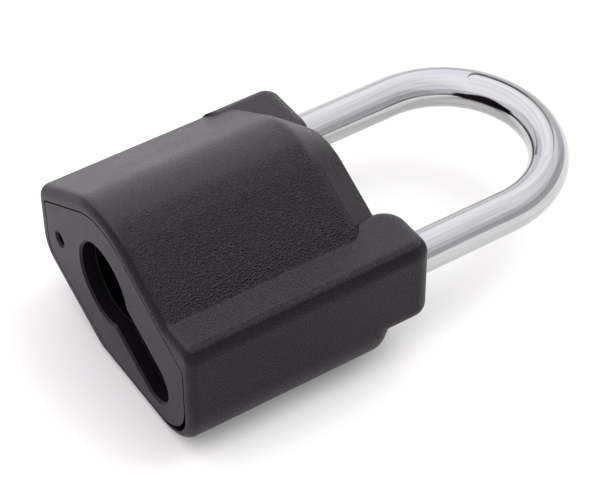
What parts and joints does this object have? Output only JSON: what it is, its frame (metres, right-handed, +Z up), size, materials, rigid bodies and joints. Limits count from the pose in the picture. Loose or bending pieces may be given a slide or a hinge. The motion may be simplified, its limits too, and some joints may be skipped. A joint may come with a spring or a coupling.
{
  "type": "padlock",
  "caption": "Padlock with a black plastic sleeve, a round chromed shackle and a seat for a Euro profile half cylinder.",
  "frame": {"origin": "middle of the bottom of the bounding box, under the flat foot the padlock lies on", "axes": "+X from the end plate, where the cylinder goes in, towards the top of the shackle; +Z up from the flat foot; +Y across the body towards the shackle's long heel leg"},
  "size_m": [0.0992, 0.056, 0.0376],
  "materials": {
    "sleeve": "moulded, leather-grained on the slope and walls",
    "plate": "matt black powder coat",
    "shackle_steel": "polished chrome plate",
    "core_steel": "milled, black phosphate",
    "hard_steel": "ground and hardened",
    "screw_steel": "black oxide",
    "seal_rubber": "moulded"
  },
  "bodies": {
    "lock_body": {"cover": "sleeve", "end_plate": "plate", "plate_gasket": "seal_rubber", "plate_pins": "hard_steel", "core_front": "core_steel", "core_rear": "core_steel", "core_screws": "screw_steel", "cover_screws": "screw_steel", "anti_drill_pins": "hard_steel", "rotor_friction_washer": "hard_steel", "shackle_retaining_pin": "hard_steel", "toe_shackle_seal": "seal_rubber", "heel_shackle_seal": "seal_rubber", "toe_buffer": "seal_rubber", "heel_buffer": "seal_rubber"},
    "rotor_body": {"rotor": "hard_steel", "driver_pin": "hard_steel"},
    "toe_bolt_body": {"toe_locking_bolt": "hard_steel"},
    "heel_ball_body": {"heel_locking_ball": "hard_steel"},
    "shackle_body": {"shackle": "shackle_steel"}
  },
  "joints": [
    {"name": "rotor_turn", "type": "hinge", "parent": "lock_body", "child": "rotor_body", "pos_m": [-0.00805, 0.00305, 0.02], "axis": [-1, 0, 0], "range_deg": [-90, 0]},
    {"name": "toe_bolt_throw", "type": "slide", "parent": "lock_body", "child": "toe_bolt_body", "axis": [0, 0.9971, 0.0767], "range_m": [-0.0023, 0]},
    {"name": "heel_ball_throw", "type": "slide", "parent": "lock_body", "child": "heel_ball_body", "axis": [0, -0.9943, 0.1065], "range_m": [-0.0023, 0]},
    {"name": "shackle_lift", "type": "slide", "parent": "lock_body", "child": "shackle_body", "axis": [1, 0, 0], "range_m": [0, 0.0175]}
  ],
  "couplings": [
    {"joint": "toe_bolt_throw", "follows": "rotor_turn", "m_per_rad": 0.0014642},
    {"joint": "heel_ball_throw", "follows": "rotor_turn", "m_per_rad": 0.0014642}
  ]
}
